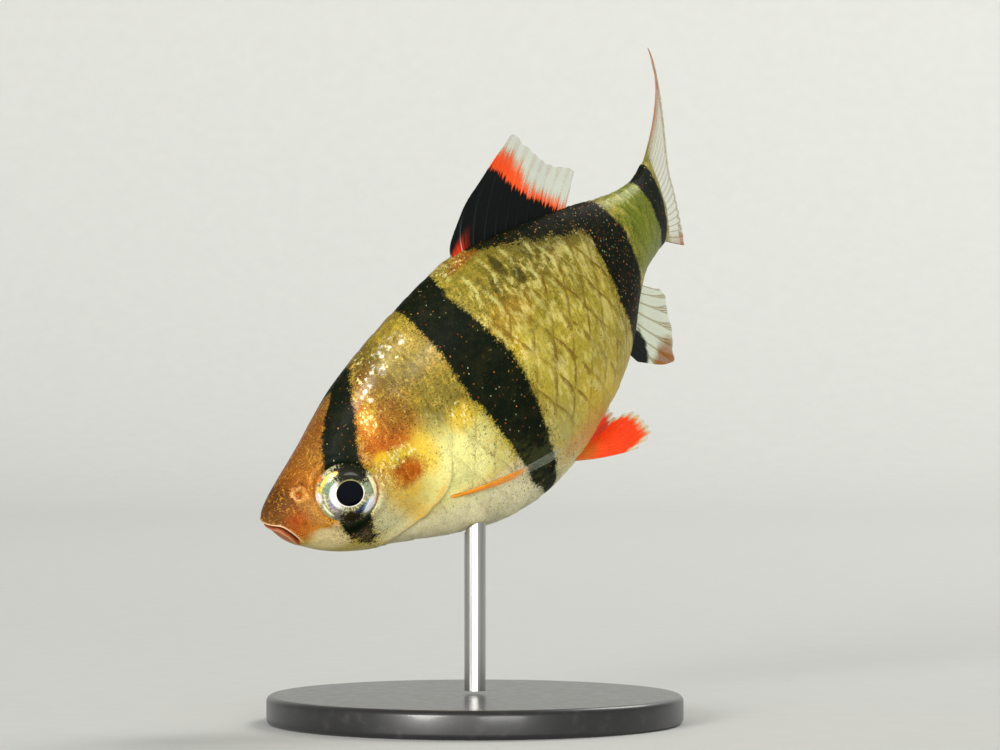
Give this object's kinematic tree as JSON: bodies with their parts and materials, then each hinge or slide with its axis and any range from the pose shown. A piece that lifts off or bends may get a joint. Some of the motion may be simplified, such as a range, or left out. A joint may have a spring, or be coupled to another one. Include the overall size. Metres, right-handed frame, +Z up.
{
  "type": "tiger barb fish model",
  "caption": "Life-size tiger barb, head down and tail turned away, with banded body, spread fins and relief of mouth, nostrils and gill covers, held on a rod over a round base.",
  "frame": {"origin": "middle of the underside of the stand's round base", "axes": "+Z up; seen along +Y the fish's left side faces the viewer, with the head to -X and the tail turned away to +Y"},
  "size_m": [0.0368, 0.0488, 0.0586],
  "materials": {
    "skin": "wet golden scales with black bands",
    "eye": "glossy, silver iris and black pupil",
    "black_and_red_fin": "black fin with a red rim zone and clear margin",
    "clear_fin": "thin clear fin membrane over fine rays",
    "red_fin": "orange red fin membrane",
    "stand_base": "satin black",
    "stand_rod": "satin"
  },
  "bodies": {
    "root": {"head": "skin", "trunk": "skin", "tail_stem": "skin", "eye_left": "eye", "eye_right": "eye", "dorsal_fin": "black_and_red_fin", "anal_fin": "clear_fin", "caudal_fin": "clear_fin", "pectoral_fin_left": "clear_fin", "pectoral_fin_right": "clear_fin", "pelvic_fin_left": "red_fin", "pelvic_fin_right": "red_fin", "stand_base": "stand_base", "stand_rod": "stand_rod"}
  },
  "joints": []
}
